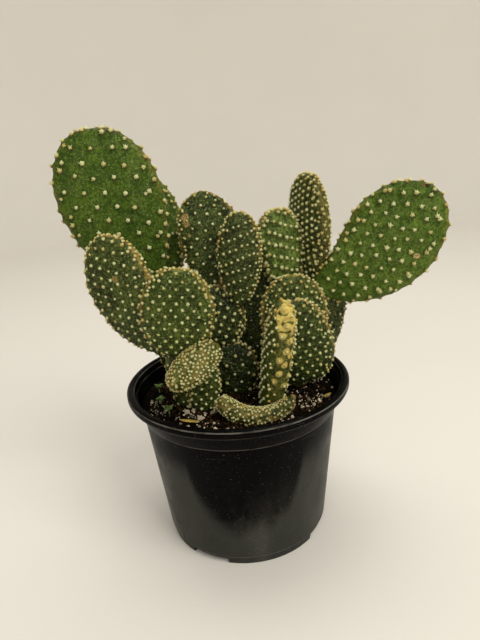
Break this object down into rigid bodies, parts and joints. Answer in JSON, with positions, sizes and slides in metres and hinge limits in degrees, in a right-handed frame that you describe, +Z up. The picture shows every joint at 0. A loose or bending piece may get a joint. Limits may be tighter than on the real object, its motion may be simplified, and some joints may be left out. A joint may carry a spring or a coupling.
{
  "type": "potted paddle cactus",
  "caption": "Prickly pear with flat oval pads dotted with pale bristle tufts, growing from gritty soil in a round black plastic nursery pot.",
  "frame": {"origin": "centre of the pot's underside, on the flat central foot that the pot rests on", "axes": "+Z up along the pot's axis, -Y towards the viewer, +X to the viewer's right"},
  "size_m": [0.259, 0.165, 0.3004],
  "materials": {
    "pot_plastic": "satin",
    "soil_mix": "matte",
    "pad_flesh_light": "satin",
    "pad_flesh_dark": "satin",
    "pad_flesh_variegated": "satin",
    "pad_flesh_corky": "matte",
    "seedling_leaf": "satin"
  },
  "bodies": {
    "root": {"pot": "pot_plastic", "soil": "soil_mix", "pad_left_root": "pad_flesh_dark", "pad_left_back_root": "pad_flesh_dark", "pad_front_stub": "pad_flesh_dark", "pad_centre_root": "pad_flesh_dark", "pad_centre_back_root": "pad_flesh_dark", "pad_right_root": "pad_flesh_dark", "pad_right_middle": "pad_flesh_dark", "pad_right_front": "pad_flesh_dark", "pad_variegated": "pad_flesh_variegated", "pad_front_crescent": "pad_flesh_corky", "pad_centre_middle": "pad_flesh_dark", "pad_front_corky": "pad_flesh_corky", "pad_left_round": "pad_flesh_light", "pad_left_low": "pad_flesh_light", "pad_left_tall": "pad_flesh_light", "pad_left_behind": "pad_flesh_light", "pad_centre_tall": "pad_flesh_dark", "pad_centre_narrow": "pad_flesh_dark", "pad_centre_right": "pad_flesh_light", "pad_right_upright": "pad_flesh_dark", "pad_right_large": "pad_flesh_light", "seedling_back": "seedling_leaf", "seedling_middle": "seedling_leaf", "seedling_front": "seedling_leaf"}
  },
  "joints": []
}
